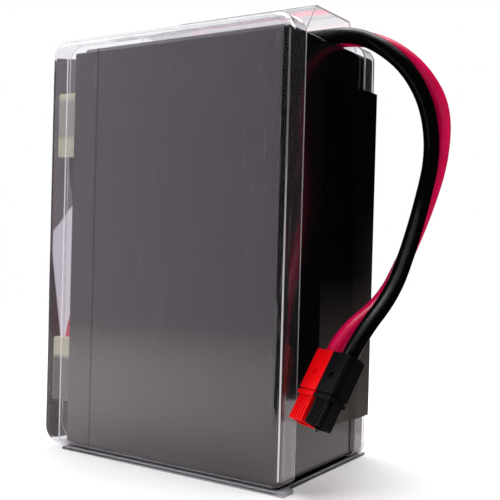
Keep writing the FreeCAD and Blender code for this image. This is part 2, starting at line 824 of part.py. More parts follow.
def ridges(body, label, half, core):
    """Rails on the shell's side and ribs along the nose."""
    wide = size("rail_width") / 2
    rail = rectangle(sketch_in(body, "XY_Plane", label + "_rail"),
                     core, -wide, half + size("rail_height"), wide)
    pad(body, rail, size("shell_rear"))
    front = size("collar_start") + size("collar_length")
    ribs = sketch_in(body, "XY_Plane", label + "_ribs", front)
    rectangle(ribs, core - size("rib_height"), -wide, core + size("rib_height") * 2, wide)
    for index in range(RIBS):
        middle = size("rib_pitch") * (index - (RIBS - 1) / 2)
        rectangle(ribs, middle - size("rib_width") / 2, core - size("rib_height"),
                  middle + size("rib_width") / 2, core + size("rib_height"))
    pad(body, ribs, size("shell_length") - front)


def contact(label, tip):
    """Crimp barrel with the flat tongue that makes the connection."""
    body = new_body(label + "_body")
    barrel = circle(sketch_in(body, "XY_Plane", label + "_barrel"), ZERO, ZERO,
                    size("contact_radius"))
    pad(body, barrel, size("contact_length"))
    bore = circle(sketch_in(body, "XY_Plane", label + "_bore"), ZERO, ZERO, size("contact_bore"))
    pocket(body, bore, size("contact_length") - size("tongue_gauge"), along=True)
    wide, low = size("tongue_width") / 2, size("tongue_rise")
    tongue = rectangle(sketch_in(body, "XY_Plane", label + "_tongue", size("contact_length")),
                       -wide, low, wide, low + size("tongue_gauge"))
    pad(body, tongue, size("tongue_length"))
    return node(at_connector(body, tip), label)


def spring(label, tip):
    """Flat spring on the slot's floor that presses the tongue."""
    body = new_body(label + "_body")
    floor, gauge = -size("slot_depth") / 2, size("spring_gauge")
    bend, peak_end = size("spring_bend"), size("spring_end")
    peak = size("tongue_rise") - size("spring_gap")
    strip = polygon(sketch_in(body, "YZ_Plane", label + "_strip"),
                    [(floor, size("spring_start")), (floor, bend), (peak - gauge, peak_end),
                     (peak, peak_end), (floor + gauge, bend), (floor + gauge, size("spring_start"))])
    pad(body, strip, size("spring_width"), both=True)
    return node(at_connector(body, tip), label)


def check_and_write():
    """Stops on a failed object, then writes each piece under its name."""
    doc.recompute()
    for thing in doc.Objects:
        if "Invalid" in thing.State or "Error" in thing.State:
            raise RuntimeError(f"{thing.Name} failed: {thing.State}")
    os.makedirs("parts", exist_ok=True)
    for label, thing in nodes.items():
        if thing.Shape.isNull() or not thing.Shape.isValid():
            raise RuntimeError(f"{label} has no valid shape")
        thing.Shape.exportStep(f"parts/{label}.step")


battery_case()
battery_lid()
vent_cover()
valve_caps()
for cell in range(CELLS):
    plate_pack(cell)
cell_links()
for pole, at_top in (("positive", False), ("negative", True)):
    terminal(pole + "_terminal", at_top)
    receptacle(pole + "_receptacle", at_top)
    boot(pole + "_boot", at_top)
tray("front_tray", False)
tray("rear_tray", True)
cable_hood()
base_sheet()
side_label()
inner_leads()
black_tip, red_tip = connector_tips()
free_lead("black_lead", BLACK_ROUTE, black_tip)
free_lead("red_lead", RED_ROUTE, red_tip)
for colour, lead_tip in (("black", black_tip), ("red", red_tip)):
    housing(colour + "_housing", lead_tip)
    contact(colour + "_contact", lead_tip)
    spring(colour + "_spring", lead_tip)
check_and_write()
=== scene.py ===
"""Looks of a battery pack in clear trays, laid out as an add-on with one operator a piece."""

import bpy
import numpy as np
from mathutils import Matrix, Vector


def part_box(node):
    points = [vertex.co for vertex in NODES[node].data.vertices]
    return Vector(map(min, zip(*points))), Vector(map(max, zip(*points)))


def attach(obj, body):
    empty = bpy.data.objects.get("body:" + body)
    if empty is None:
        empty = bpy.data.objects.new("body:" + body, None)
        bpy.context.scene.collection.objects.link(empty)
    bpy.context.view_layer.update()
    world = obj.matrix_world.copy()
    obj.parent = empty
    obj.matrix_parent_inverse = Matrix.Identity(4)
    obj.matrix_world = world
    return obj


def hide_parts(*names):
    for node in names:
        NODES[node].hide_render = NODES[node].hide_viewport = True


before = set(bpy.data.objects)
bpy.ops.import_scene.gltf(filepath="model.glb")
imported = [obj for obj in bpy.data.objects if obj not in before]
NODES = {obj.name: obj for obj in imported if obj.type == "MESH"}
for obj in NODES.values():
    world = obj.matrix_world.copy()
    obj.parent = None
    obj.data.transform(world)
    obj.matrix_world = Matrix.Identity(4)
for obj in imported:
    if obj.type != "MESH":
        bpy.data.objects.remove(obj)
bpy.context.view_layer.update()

bl_info = {
    "name": "Battery pack in clear trays",
    "version": (1, 0, 0),
    "blender": (4, 5, 0),
    "location": "3D View > Sidebar > Battery pack",
    "description": "Finishes, leads and studio for a UPS battery pack",
    "category": "Object",
}

BODY = "root"

# Routes of the free leads in metres, from the block's right, front and top faces.
BLACK_ROUTE = [
    (-0.002, 0.0365, 0.0031), (0.005, 0.0365, 0.0031), (0.0152, 0.038, -0.0016),
    (0.0238, 0.0431, -0.0099), (0.0286, 0.0496, -0.0225), (0.0292, 0.0536, -0.039),
    (0.0267, 0.0511, -0.0555), (0.0259, 0.0419, -0.072), (0.0249, 0.0307, -0.0875),
    (0.02024, 0.01592, -0.10094), (0.0187, 0.0121, -0.1078),
]
RED_ROUTE = [
    (-0.002, 0.043, 0.0031), (0.006, 0.043, 0.0031), (0.0169, 0.0457, -0.0013),
    (0.0256, 0.0517, -0.0094), (0.0305, 0.0598, -0.0215), (0.0296, 0.0612, -0.04),
    (0.0258, 0.0571, -0.058), (0.0226, 0.0479, -0.0747), (0.0204, 0.0343, -0.0905),
    (0.01283, 0.01892, -0.10094), (0.01128, 0.0151, -0.1078),
]

# Routes of the inner leads in metres, from the lid's face, the block's front and its foot.
BLACK_INNER = [
    (-0.0056, 0.00775, 0.1179), (-0.0056, 0.00775, 0.0849), (-0.006, 0.0365, 0.0849),
    (-0.0072, 0.0369, 0.1141), (-0.0088, 0.0365, 0.1281), (-0.0088, 0.0365, 0.1541),
    (0.0172, 0.0369, 0.1541), (0.052, 0.0365, 0.1541), (0.092, 0.0365, 0.1541),
]
RED_INNER = [
    (-0.0056, 0.00775, 0.0331), (-0.0056, 0.00775, 0.0471), (-0.0056, 0.023, 0.0641),
    (-0.0064, 0.0425, 0.0841), (-0.0072, 0.0434, 0.1141), (-0.0088, 0.043, 0.1281),
    (-0.0088, 0.043, 0.1541), (0.0172, 0.0434, 0.1541), (0.052, 0.043, 0.1541),
    (0.092, 0.043, 0.1541),
]

# Values that several finishes share; depths and widths are in metres.
NOISE_RANGE = (0.3, 0.7)
FINE_GRAIN = 0.00005
SOFT_GRAIN = 0.0001
SHARP = 0.00001
UPRIGHT = (1.0, 1.0, 0.02)
BASE_TONE = 0.94

# Floor: half its width, where it fades out, and the painted pool of light on it that the front face
# mirrors.
FLOOR_REACH = 1.0
FLOOR_FADE = (0.45, 0.8)
POOL_PLACE = (-0.27, -0.03, 0.0)
POOL_EDGE = (0.15, 0.34)
POOL_LIGHT = (1.0, 0.91, 0.93)
MIRRORED_FLOOR = (0.52, 0.47, 0.48)

# Cards that only reflections show: turns in degrees from +Y towards +X, plans as X and Y in metres.
BLACK = (0.0, 0.0, 0.0)
ARC_POINTS = 25
FLAG_RADIUS = 0.8
RIGHT_FLAG_TURNS = (-8, 203)
RIGHT_FLAG_HEIGHT = 0.9
LEFT_FLAG_TURNS = (262, 316)
LEFT_FLAG_HEIGHT = 0.28
DARK_TABLE_TURNS = (-8, 180)
DARK_TABLE_INNER = 0.165
DARK_TABLE_LEVEL = 0.001
PALE_TABLE = [(0.055, -0.13), (0.15, -0.13), (0.15, 0.06), (0.055, 0.06)]
PALE_TABLE_LEVEL = 0.0015
PALE_TABLE_SHADE = (1.0, 0.92, 0.92)
FRONT_CARD = [(-0.13, -0.39), (-0.72, -0.39), (-0.792, -0.111)]
FRONT_CARD_HEIGHT = 0.5
FRONT_CARD_FADE = (-0.42, -0.15)
FRONT_CARD_LEFT = (0.90, 0.79, 0.89)
FRONT_CARD_RIGHT = (0.64, 0.55, 0.63)
MIRROR_HIDDEN = ("camera", "diffuse", "shadow", "volume_scatter")

# Cards at the back of the clear left margin, painted shade with one painted pale patch: the plane that
# they stand in, and outlines across and up in metres.
MARGIN_START = np.array((-0.0785, -0.0045))
MARGIN_ACROSS = np.array((0.71, 0.70))
MARGIN_BACK = np.array((-0.70, 0.71))
UPPER_DARK = [(-0.03, 0.052), (-0.005, 0.078), (0.01, 0.099), (0.0085, 0.158), (-0.03, 0.157)]
UPPER_SHADE = (0.115, 0.096, 0.11)
LOWER_DARK = [
    (-0.03, 0.0), (0.0125, 0.0), (0.0115, 0.037), (0.003, 0.037), (-0.0015, 0.074), (-0.03, 0.076),
]
PALE_BACK = [(-0.006, 0.0), (0.013, 0.0), (0.012, 0.158), (-0.008, 0.157)]
PALE_BACK_STEP = 0.003
PALE_BACK_SHADE = (0.56, 0.52, 0.57)
MARGIN_HIDDEN = MIRROR_HIDDEN + ("glossy",)

# Card along the trays' left wall, painted shade that darkens its edge, as Y and Z in metres, and how far
# outside the wall it stands.
WALL_DARK = [
    (-0.0345, 0.0), (-0.012, 0.0), (-0.012, 0.014), (-0.0312, 0.014), (-0.0312, 0.150), (-0.0345, 0.150),
]
WALL_STEP = 0.0007

# Lamps by name: place, size and power, each turned towards the middle of the pack.
LAMP_AIM = (0.0, 0.0, 0.08)
LAMPS = {"left_lamp": ((-0.7, -0.5, 0.7), 0.5, 2.2), "top_lamp": ((0.0, 0.1, 1.1), 0.8, 13.0)}
SENSOR_WIDTH = 36.0


def colour(name, description, default):
    """A colour that the user may change."""
    return bpy.props.FloatVectorProperty(
        name=name, description=description, default=default,
        size=3, min=0.0, max=1.0, subtype="COLOR")


def length(name, description, default):
    """A length in metres that the user may change."""
    return bpy.props.FloatProperty(
        name=name, description=description, default=default, min=0.0, unit="LENGTH")


def angle(name, description, degrees):
    """An angle that the user may change, given here in degrees."""
    return bpy.props.FloatProperty(
        name=name, description=description, default=np.radians(degrees), subtype="ANGLE")


class PackColours(bpy.types.PropertyGroup):
    """Colours of the pack's finishes."""

    block: colour("Block", "Moulded black of the battery block", (0.0022, 0.0021, 0.0025))
    clear: colour("Clear sheet", "Tint of the drawn sheet", (0.93, 0.93, 0.95))
    label: colour("Label", "Film of the side label", (0.0010, 0.0009, 0.0010))
    red_lead: colour("Red lead", "Sleeve of the red lead", (0.60, 0.0018, 0.066))
    black_lead: colour("Black lead", "Sleeve of the black lead", (0.0014, 0.0014, 0.0017))
    red_shell: colour("Red shell", "Moulding of the red connector", (0.92, 0.0006, 0.003))
    black_shell: colour("Black shell", "Moulding of the black connector", (0.0036, 0.0034, 0.0042))
    boot: colour("Boot", "Nylon of the terminal sleeves", (0.55, 0.52, 0.38))
    boot_clip: colour("Boot over its clip", "Sleeve where the clip shows through", (0.33, 0.31, 0.27))
    # Painted shade: the front of the lower boot below its lip takes this dark colour in place of the
    # boot's own.
    boot_shade: colour("Boot in shade", "Front of the lower sleeve, below its lip", (0.10, 0.09, 0.085))
    tin: colour("Tinned metal", "Contacts, tabs and clips", (0.74, 0.72, 0.68))
    plates: colour("Plates", "Lead of the plates and links", (0.23, 0.24, 0.26))


class PackSizes(bpy.types.PropertyGroup):
    """Sizes of the leads and of the lines in the finishes."""

    # The cut-edge line is partly the frosted cut and partly painted glow.
    cut_edge: length("Cut edge", "Width of the dull line at a cut edge", 0.00015)
    bend_radius: length("Bend radius", "Rounding of the trays' upright edges", 0.003)
    # The crease line is a painted highlight; left of it the front sheet mirrors less.
    crease: length("Crease", "Width of the pale step line beside the lid", 0.0006)
    crease_reach: length("Crease reach", "From the lid's face to the pale step line", 0.003)
    seam: length("Seam", "Width of the groove under the lid", 0.0009)
    diameter: length("Diameter", "Outside of the lead's sleeve", 0.0056)
    black_length: length("Black length", "Free length of the black lead", 0.1452)
    red_length: length("Red length", "Free length of the red lead", 0.1526)


class StudioSettings(bpy.types.PropertyGroup):
    """Camera, even light and floor."""

    camera_place: bpy.props.FloatVectorProperty(
        name="Camera place", description="Where the camera stands",
        default=(0.189037, -0.270647, 0.083416), size=3, subtype="TRANSLATION", unit="LENGTH")
    azimuth: angle("Azimuth", "Turn of the camera about the upright", 33.947)
    pitch: angle("Pitch", "How far the camera looks down", 0.808)
    roll: angle("Roll", "Turn of the camera about its line of sight", 1.514)
    lens: bpy.props.FloatProperty(
        name="Lens", description="Focal length on a 36 mm sensor", default=61.46, unit="CAMERA")
    shift: bpy.props.FloatVectorProperty(
        name="Shift", description="Shift of the picture in widths", default=(0.05, -0.0052), size=2)
    ambient: bpy.props.FloatProperty(
        name="Ambient", description="Strength of the even light from all round", default=0.6)
    floor: colour("Floor", "Pale floor", (0.92, 0.92, 0.92))


class Finish:
    """A node material on Object coordinates, put together round one Principled shader."""

    def __init__(self, name, **sockets):
        self.material = bpy.data.materials.new(name)
        self.material.use_nodes = True
        self.tree = self.material.node_tree
        self.tree.nodes.clear()
        self.output = self.node("OutputMaterial")
        self.shader = self.node("BsdfPrincipled")
        self.link(self.shader.outputs["BSDF"], self.output.inputs["Surface"])
        self.place = self.node("TexCoord").outputs["Object"]
        for socket, value in sockets.items():
            self.shader.inputs[socket.replace("_", " ")].default_value = value

    def node(self, kind):
        """Adds a shader node."""
        return self.tree.nodes.new("ShaderNode" + kind)

    def link(self, start, end):
        """Links an output to an input."""
        self.tree.links.new(start, end)

    def feed(self, socket, value):
        """Links a value to one socket of the Principled shader."""
        self.link(value, self.shader.inputs[socket])

    def noise(self, scale, detail=3.0, stretch=(1.0, 1.0, 1.0)):
        """Soft noise from 0 to 1; a stretch below 1 draws it out along that axis."""
        mapping = self.node("Mapping")
        mapping.inputs["Scale"].default_value = stretch
        self.link(self.place, mapping.inputs["Vector"])
        texture = self.node("TexNoise")
        texture.inputs["Scale"].default_value = scale
        texture.inputs["Detail"].default_value = detail
        self.link(mapping.outputs["Vector"], texture.inputs["Vector"])
        return texture.outputs["Fac"]

    def along(self, axis):
        """How far a point lies along X, Y or Z."""
        split = self.node("SeparateXYZ")
        self.link(self.place, split.inputs["Vector"])
        return split.outputs[axis]

    def distance(self, place):
        """How far a point lies from a place."""
        away = self.node("VectorMath")
        away.operation = "DISTANCE"
        away.inputs[1].default_value = place
        self.link(self.place, away.inputs[0])
        return away.outputs["Value"]

    def span(self, value, start, end, low, high):
        """Maps start to end onto low to high, held at the ends."""
        mapped = self.node("MapRange")
        for socket, number in zip(("From Min", "From Max", "To Min", "To Max"), (start, end, low, high)):
            mapped.inputs[socket].default_value = number
        self.link(value, mapped.inputs["Value"])
        return mapped.outputs["Result"]

    def blend(self, factor, first, second):
        """Mixes two colours, each a tuple or a colour output."""
        mix = self.node("Mix")
        mix.data_type = "RGBA"
        self.link(factor, mix.inputs["Factor"])
        for socket, shade in ((mix.inputs[6], first), (mix.inputs[7], second)):
            if isinstance(shade, bpy.types.NodeSocket):
                self.link(shade, socket)
            else:
                socket.default_value = (*shade, 1.0)
        return mix.outputs[2]

    def math(self, kind, first, second):
        """Joins two values by one operation."""
        made = self.node("Math")
        made.operation = kind
        self.link(first, made.inputs[0])
        self.link(second, made.inputs[1])
        return made.outputs["Value"]

    def mix(self, factor, first, second):
        """Mixes two shaders."""
        made = self.node("MixShader")
        for socket, value in zip(made.inputs, (factor, first, second)):
            self.link(value, socket)
        return made.outputs["Shader"]

    def cloud(self, scale, shade, dark, light):
        """A colour that wanders between a darker and a lighter tone."""
        return self.blend(self.noise(scale), tone(shade, dark), tone(shade, light))

    def rough(self, scale, gloss):
        """Lets the roughness wander between two values."""
        self.feed("Roughness", self.span(self.noise(scale), *NOISE_RANGE, *gloss))

    def bump(self, value, strength, depth):
        """Raises the surface by a value, as deep as depth in metres."""
        made = self.node("Bump")
        made.inputs["Strength"].default_value = strength
        made.inputs["Distance"].default_value = depth
        self.link(value, made.inputs["Height"])
        self.feed("Normal", made.outputs["Normal"])


def tone(shade, factor):
    """A colour made lighter or darker by a factor."""
    return tuple(min(1.0, channel * factor) for channel in shade)


def moulded(name, shade, gloss, grain, shine=0.5, seam=None):
    """Moulded plastic: cloudy colour, gloss that wanders and a fine grain.

    seam gives the X at which a lightless groove starts."""
    made = Finish(name, IOR=1.52, Specular_IOR_Level=shine)
    if seam is not None:
        made.feed("Specular IOR Level", made.span(made.along("X"), seam, seam + SHARP, shine, 0.0))
    made.feed("Base Color", made.cloud(55.0, shade, 0.7, 1.5))
    made.rough(160.0, gloss)
    made.bump(made.noise(2400.0), grain, FINE_GRAIN)
    return made.material


def worn_sheet(made):
    """Specks, draw lines and waves in a sheet's gloss; returns how dull its dust and scratches are."""
    specks = made.span(made.noise(1100.0, detail=1.0), 0.75, 0.81, 0.0, 0.22)
    lines = made.span(made.noise(260.0, detail=4.0, stretch=UPRIGHT), *NOISE_RANGE, 0.01, 0.06)
    made.feed("Roughness", made.math("ADD", specks, lines))
    wave_depth = 0.0004
    made.bump(made.noise(24.0, detail=2.0, stretch=(1.0, 1.0, 0.25)), 0.08, wave_depth)
    dust = made.span(made.noise(700.0, detail=0.0), 0.86, 0.90, 0.008, 0.09)
    scratches = made.span(made.noise(2600.0, detail=1.0, stretch=UPRIGHT), 0.675, 0.74, 0.0, 0.1)
    return made.math("MAXIMUM", dust, scratches)


def cut_rims(made, dull, axis, rims):
    """Adds the white lines of a sheet's cut edges, partly their frosted cut and partly painted glow of
    light led through the sheet.

    rims gives each edge as a pair along the axis: where it is whole and where it has faded out."""
    rim_dull = 0.4
    for whole, faded in rims:
        rim = made.span(made.along(axis), whole, faded, rim_dull, 0.0)
        dull = made.math("MAXIMUM", dull, rim)
    return dull


def bend_highlights(made, dull, bend):
    """Adds painted highlights as pale lines on a rounded upright edge, fainter towards its top, and on a
    rounded foot.

    bend gives the largest X - Y on the upright edge and the least Y + Z on the foot."""
    upright, foot = bend
    upright_fade = 0.00005
    faint_from, faint_to = 0.02, 0.12
    foot_whole, foot_fade = 0.00003, 0.0001
    outward = made.math("SUBTRACT", made.along("X"), made.along("Y"))
    line = made.span(outward, upright - upright_fade, upright - SHARP, 0.0, 1.0)
    fading = made.span(made.along("Z"), faint_from, faint_to, 0.9, 0.18)
    dull = made.math("MAXIMUM", dull, made.math("MULTIPLY", line, fading))
    inward = made.math("ADD", made.along("Y"), made.along("Z"))
    low_line = made.span(inward, foot + foot_whole, foot + foot_fade, 0.3, 0.0)
    return made.math("MAXIMUM", dull, low_line)


def crease_highlight(made, dull, crease):
    """Adds a painted highlight as a pale upright line at a step in a front face; left of it the sheet
    mirrors less, a painted darker reflection.

    crease gives the line's X, its width and the Y of the front face."""
    middle, width, face = crease
    start, end = middle - width / 2, middle + width / 2
    face_depth, face_end = 0.001, 0.0012
    left_mirror = 0.35
    left = made.span(made.along("X"), start, middle, 0.0, 1.0)
    right = made.span(made.along("X"), middle, end, 1.0, 0.0)
    front = made.span(made.along("Y"), face + face_depth, face + face_end, 0.9, 0.0)
    made.feed("Specular Tint", made.span(made.along("X"), start, middle, left_mirror, 1.0))
    line = made.math("MULTIPLY", made.math("MULTIPLY", left, right), front)
    return made.math("MAXIMUM", dull, line)


def clear_sheet(name, tint, axis, rims, bend=None, crease=None):
    """Clear drawn sheet with draw lines, dust, scratches, pale cut edges that are partly painted glow,
    and on the front tray painted highlight lines, which lets lamps through.
    """
    made = Finish(name, IOR=1.5, Transmission_Weight=1.0)
    made.shader.inputs["Base Color"].default_value = (*tint, 1.0)
    dull = cut_rims(made, worn_sheet(made), axis, rims)
    # Painted highlights: pale lines on the front tray's rounded edges and at its crease.
    if bend is not None:
        dull = bend_highlights(made, dull, bend)
    if crease is not None:
        dull = crease_highlight(made, dull, crease)
    matte = made.node("BsdfDiffuse")
    matte.inputs["Color"].default_value = (0.85, 0.81, 0.85, 1.0)
    sheet = made.mix(dull, made.shader.outputs["BSDF"], matte.outputs["BSDF"])
    open_way = made.node("BsdfTransparent")
    open_way.inputs["Color"].default_value = (*tint, 1.0)
    lamp_ray = made.node("LightPath").outputs["Is Shadow Ray"]
    whole = made.mix(lamp_ray, sheet, open_way.outputs["BSDF"])
    made.link(whole, made.output.inputs["Surface"])
    return made.material


def label_film(shade):
    """Matte label: fine paper grain, browner and paler towards its foot and its rear edge."""
    made = Finish("label_film", IOR=1.45, Specular_IOR_Level=0.12)
    pale_foot, dark_from = 0.015, 0.07
    rear_from, rear_to = 0.018, 0.034
    rear_fade, rear_end = 0.05, 0.10
    even = made.cloud(90.0, shade, 0.7, 1.3)
    low = made.blend(made.noise(140.0), (0.042, 0.032, 0.029), (0.066, 0.055, 0.050))
    height = made.span(made.along("Z"), pale_foot, dark_from, 0.0, 1.0)
    fading = made.span(made.along("Z"), rear_fade, rear_end, 0.35, 0.0)
    rear = made.math("MULTIPLY", made.span(made.along("Y"), rear_from, rear_to, 0.0, 1.0), fading)
    made.feed("Base Color", made.blend(made.math("SUBTRACT", height, rear), low, even))
    made.rough(400.0, (0.42, 0.62))
    made.bump(made.noise(2600.0), 0.2, FINE_GRAIN)
    return made.material


def sleeve(name, shade):
    """Lead sleeve: glossy soft plastic with a faint waviness along it."""
    made = Finish(name, IOR=1.5, Specular_IOR_Level=0.22)
    made.feed("Base Color", made.cloud(120.0, shade, 0.75, 1.2))
    made.rough(300.0, (0.16, 0.3))
    made.bump(made.noise(420.0, detail=2.0), 0.12, SOFT_GRAIN)
    return made.material


def nylon(name, shade, band, band_colour, front=None):
    """Translucent nylon of a boot, in another colour over a band of heights: over the clip on the upper
    boot, and painted shade on the front of the lower boot below its lip.

    front gives the Y of the front face, where that colour is to show on that face alone."""
    made = Finish(name, IOR=1.5, Subsurface_Weight=0.3, Subsurface_Scale=0.002)
    even = made.cloud(150.0, shade, 0.8, 1.15)
    low, high = band
    soft = 0.001
    over = made.span(made.along("Z"), low - soft, low + soft, 0.0, 1.0)
    under = made.span(made.along("Z"), high - soft, high + soft, 1.0, 0.0)
    shown = made.math("MULTIPLY", over, under)
    if front is not None:
        face = made.span(made.along("Y"), front, front + soft, 1.0, 0.0)
        shown = made.math("MULTIPLY", shown, face)
    made.feed("Base Color", made.blend(shown, even, band_colour))
    made.rough(500.0, (0.35, 0.5))
    made.bump(made.noise(1800.0), 0.1, SOFT_GRAIN)
    return made.material


def metal(name, shade, gloss):
    """Metal with faint tarnish and rolling marks."""
    made = Finish(name, Metallic=1.0)
    made.feed("Base Color", made.cloud(350.0, shade, 0.65, 1.0))
    made.rough(900.0, gloss)
    made.bump(made.noise(1600.0, detail=2.0, stretch=(1.0, 1.0, 0.1)), 0.1, FINE_GRAIN)
    return made.material


def dress(material, *names):
    """Puts one material into every slot of the named CAD nodes."""
    for name in names:
        if name not in NODES:
            raise RuntimeError(f"the frame has no node {name}")
        slots = NODES[name].data.materials
        slots.clear()
        slots.append(material)


def lead_curve(name, points, diameter, material):
    """Round lead along one smooth spline whose control points are the route."""
    curve = bpy.data.curves.new(name, "CURVE")
    curve.dimensions = "3D"
    curve.resolution_u = 16
    curve.bevel_depth = diameter / 2
    curve.bevel_resolution = 8
    curve.use_fill_caps = True
    spline = curve.splines.new("NURBS")
    spline.points.add(len(points) - 1)
    rows = np.ones((len(points), 4))
    rows[:, :3] = points
    spline.points.foreach_set("co", rows.ravel())
    spline.order_u = 3
    spline.use_endpoint_u = True
    curve.materials.append(material)
    piece = bpy.data.objects.new(name, curve)
    bpy.context.collection.objects.link(piece)
    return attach(piece, BODY)


class PACK_OT_leads(bpy.types.Operator):
    """Lay the two leads from the terminals, under the hood and down to their connectors"""

    bl_idname = "battery_pack.leads"
    bl_label = "Leads"

    def execute(self, context):
        colours, sizes = context.scene.pack_colours, context.scene.pack_sizes
        case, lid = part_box("battery_case"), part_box("battery_lid")
        corner = np.array((case[1].x, case[0].y, case[1].z))
        foot = np.array(lid[0])
        plans = (("black", BLACK_ROUTE, BLACK_INNER, colours.black_lead, sizes.black_length),
                 ("red", RED_ROUTE, RED_INNER, colours.red_lead, sizes.red_length))
        for name, route, inner, shade, free in plans:
            points = corner + np.array(route)
            finish = sleeve(name + "_sleeve", shade)
            held = lead_curve(name + "_held_lead", foot + np.array(inner), sizes.diameter, finish)
            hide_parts(name + "_inner_lead")
            piece = lead_curve(name + "_free_lead", points, sizes.diameter, finish)
            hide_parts(name + "_lead")
        return {"FINISHED"}


class PACK_OT_block(bpy.types.Operator):
    """Finish the battery block and what is inside it"""

    bl_idname = "battery_pack.block"
    bl_label = "Battery block"

    def execute(self, context):
        colours = context.scene.pack_colours
        paler = tone(colours.block, 1.2)
        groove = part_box("battery_lid")[1].x - context.scene.pack_sizes.seam
        plates = [name for name in NODES if name.startswith("plate_pack")]
        dress(moulded("block_case", colours.block, (0.10, 0.18), grain=0.0012), "battery_case")
        dress(moulded("block_lid", paler, (0.10, 0.2), grain=0.0012, seam=groove), "battery_lid")
        dress(moulded("vent_black", paler, (0.14, 0.26), grain=0.08), "vent_cover")
        dress(moulded("cap_rubber", colours.block, (0.6, 0.8), grain=0.2), "valve_caps")
        dress(metal("plate_lead", colours.plates, (0.45, 0.65)), "cell_links", *plates)
        return {"FINISHED"}


class PACK_OT_terminals(bpy.types.Operator):
    """Finish the terminals, their clips and their boots"""

    bl_idname = "battery_pack.terminals"
    bl_label = "Terminals"

    def execute(self, context):
        colours = context.scene.pack_colours
        lower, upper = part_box("positive_receptacle"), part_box("negative_receptacle")
        # Painted shade on the lower boot's front, from its foot up to its clip's top.
        shaded = (0.0, lower[1].z)
        clip = (upper[0].z, upper[1].z)
        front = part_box("positive_boot")[0].y
        dress(nylon("positive_nylon", colours.boot, shaded, colours.boot_shade, front), "positive_boot")
        dress(nylon("negative_nylon", colours.boot, clip, colours.boot_clip), "negative_boot")
        tin = metal("tinned_tab", colours.tin, (0.2, 0.4))
        for pole in ("positive", "negative"):
            dress(tin, pole + "_terminal", pole + "_receptacle")
        return {"FINISHED"}


def sheet_rims(fade):
    """The axis and the cut edges of each clear sheet, as cut_rims takes them."""
    front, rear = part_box("front_tray")[1].y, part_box("rear_tray")[0].y
    tail, mouth = (corner.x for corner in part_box("cable_hood"))
    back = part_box("base_sheet")[1].y
    return {"front_tray": ("Y", [(front - fade, front - fade * 2)]),
            "rear_tray": ("Y", [(rear + fade, rear + fade * 2)]),
            "cable_hood": ("X", [(tail + fade, tail + fade * 2), (mouth - fade, mouth - fade * 2)]),
            "base_sheet": ("Y", [(back - fade, back - fade * 2)])}


def tray_lines(sizes):
    """The bend and the crease of the front tray, as bend_highlights and crease_highlight take them."""
    near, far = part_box("front_tray")
    # A rounded corner falls this far short of a square one, on the sum of its two axes.
    cut = (2 - 2 ** 0.5) * sizes.bend_radius
    bend = (far.x - near.y - cut, near.y + near.z + cut)
    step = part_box("battery_lid")[0].x - sizes.crease_reach
    return bend, (step, sizes.crease, near.y)


class PACK_OT_sheets(bpy.types.Operator):
    """Finish the clear trays, the hood and the base sheet"""

    bl_idname = "battery_pack.sheets"
    bl_label = "Clear sheets"

    def execute(self, context):
        sizes = context.scene.pack_sizes
        tint = tuple(context.scene.pack_colours.clear)
        for name, (axis, rims) in sheet_rims(sizes.cut_edge).items():
            lines = tray_lines(sizes) if name == "front_tray" else (None, None)
            shade = tone(tint, BASE_TONE) if name == "base_sheet" else tint
            dress(clear_sheet(name + "_sheet", shade, axis, rims, *lines), name)
        return {"FINISHED"}


class PACK_OT_label(bpy.types.Operator):
    """Finish the plain side label"""

    bl_idname = "battery_pack.label"
    bl_label = "Side label"

    def execute(self, context):
        dress(label_film(context.scene.pack_colours.label), "side_label")
        return {"FINISHED"}


class PACK_OT_connectors(bpy.types.Operator):
    """Finish the connector shells, contacts and springs"""

    bl_idname = "battery_pack.connectors"
    bl_label = "Connectors"

    def execute(self, context):
        colours = context.scene.pack_colours
        shell_gloss = (0.25, 0.4)
        dress(moulded("red_shell", colours.red_shell, shell_gloss, grain=0.1, shine=0.14), "red_housing")
        dress(moulded("black_shell", colours.black_shell, shell_gloss, grain=0.1, shine=0.06),
              "black_housing")
        contact = metal("contact_silver", colours.tin, (0.15, 0.3))
        spring = metal("spring_steel", tone(colours.tin, 0.8), (0.2, 0.35))
        for name in ("red", "black"):
            dress(contact, name + "_contact")
            dress(spring, name + "_spring")
        return {"FINISHED"}


def stage_mesh(name, corners, faces, material):
    """A mesh of the stage, with one material."""
    mesh = bpy.data.meshes.new(name)
    mesh.from_pydata(np.asarray(corners, float).tolist(), [], faces)
    mesh.materials.append(material)
    card = bpy.data.objects.new(name, mesh)
    bpy.context.collection.objects.link(card)
    return card


def flat_card(name, corners, material):
    """A flat card through its corners."""
    return stage_mesh(name, corners, [range(len(corners))], material)


def strip_card(name, first, second, material):
    """Card for reflections, ruled straight from each point of one line to the same point of the other."""
    index = np.arange(len(first) - 1)
    faces = np.stack((index, index + 1, index + len(first) + 1, index + len(first)), axis=-1)
    hide(stage_mesh(name, np.concatenate((first, second)), faces.tolist(), material), MIRROR_HIDDEN)


def hide(card, sights):
    """Keeps a card from some kinds of ray."""
    for sight in sights:
        setattr(card, "visible_" + sight, False)


def arc(radius, turns, height):
    """Points on part of a circle round the pack: at each angle from +Y towards +X,
    x = radius sin(angle) and y = radius cos(angle)."""
    angles = np.radians(np.linspace(*turns, ARC_POINTS))
    levels = np.full(ARC_POINTS, height)
    return np.stack((radius * np.sin(angles), radius * np.cos(angles), levels), axis=-1)


